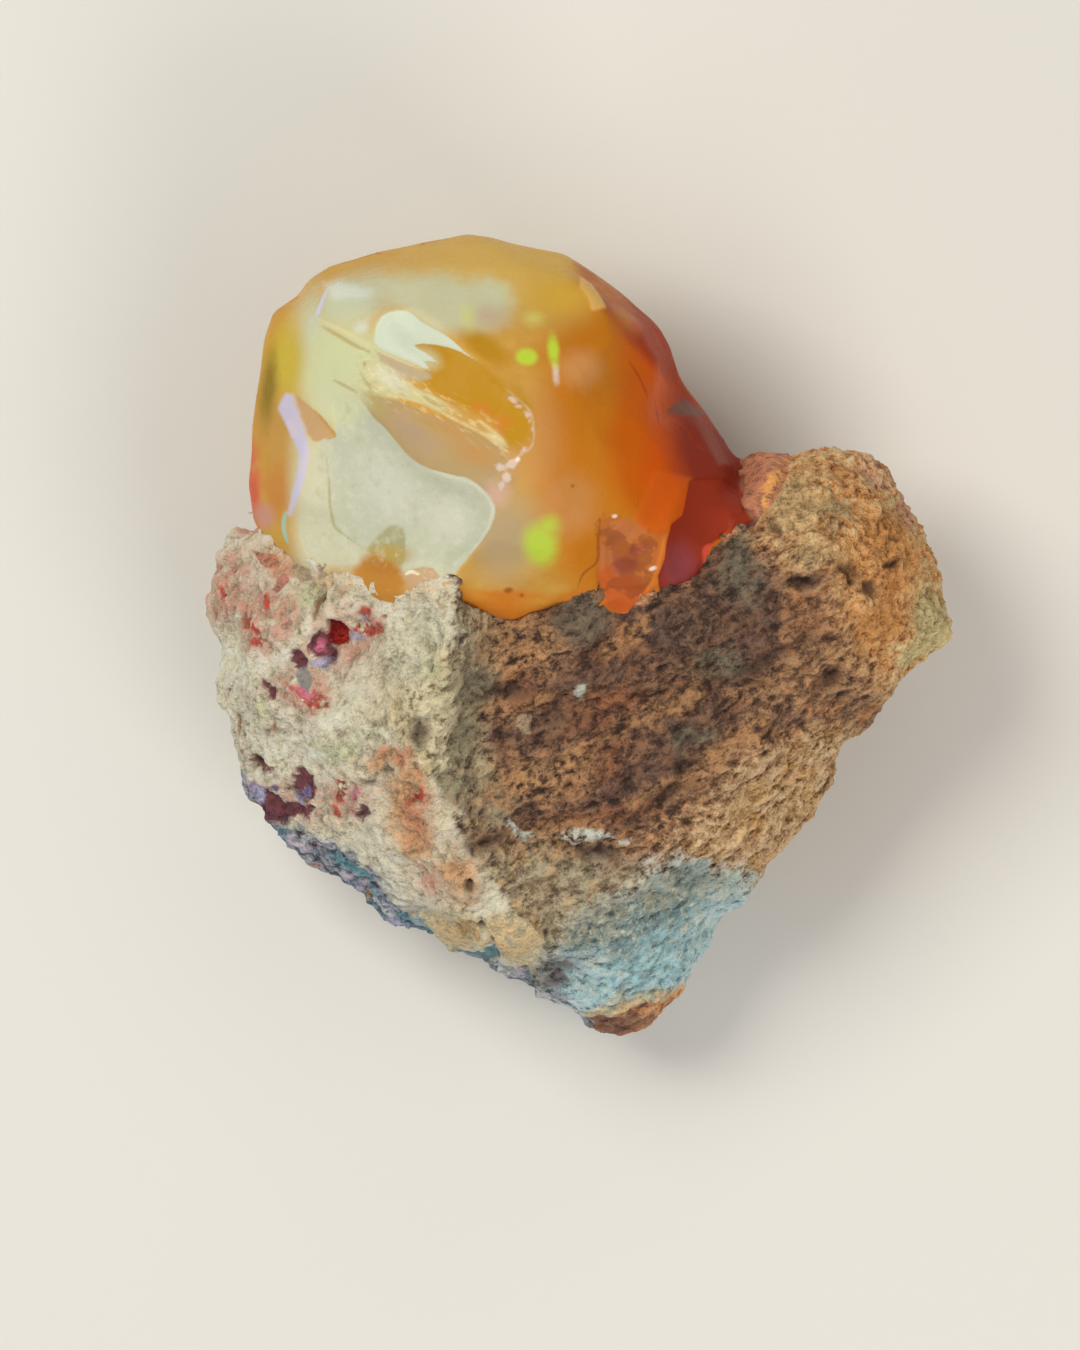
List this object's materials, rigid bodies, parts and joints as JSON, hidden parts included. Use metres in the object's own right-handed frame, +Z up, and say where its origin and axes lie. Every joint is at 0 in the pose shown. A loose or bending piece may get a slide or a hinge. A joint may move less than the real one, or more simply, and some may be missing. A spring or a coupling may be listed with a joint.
{
  "type": "rough fire opal",
  "caption": "Rough fire opal nodule, glassy and translucent, seated in a wedge of porous rhyolite matrix; a loose specimen that lies on its broken back.",
  "frame": {"origin": "on the flat resting face of the broken back, under the middle of the specimen", "axes": "+Z up out of the show face, +Y from the narrow tip of the rock to the top of the opal, +X to the lobe side"},
  "size_m": [0.0372, 0.0402, 0.022],
  "materials": {
    "opal": "glassy translucent opal, honey yellow to orange red",
    "matrix": "rough porous rhyolite, tan and cream with rust, plum and grey green patches"
  },
  "bodies": {
    "root": {"opal": "opal", "matrix": "matrix"}
  },
  "joints": []
}
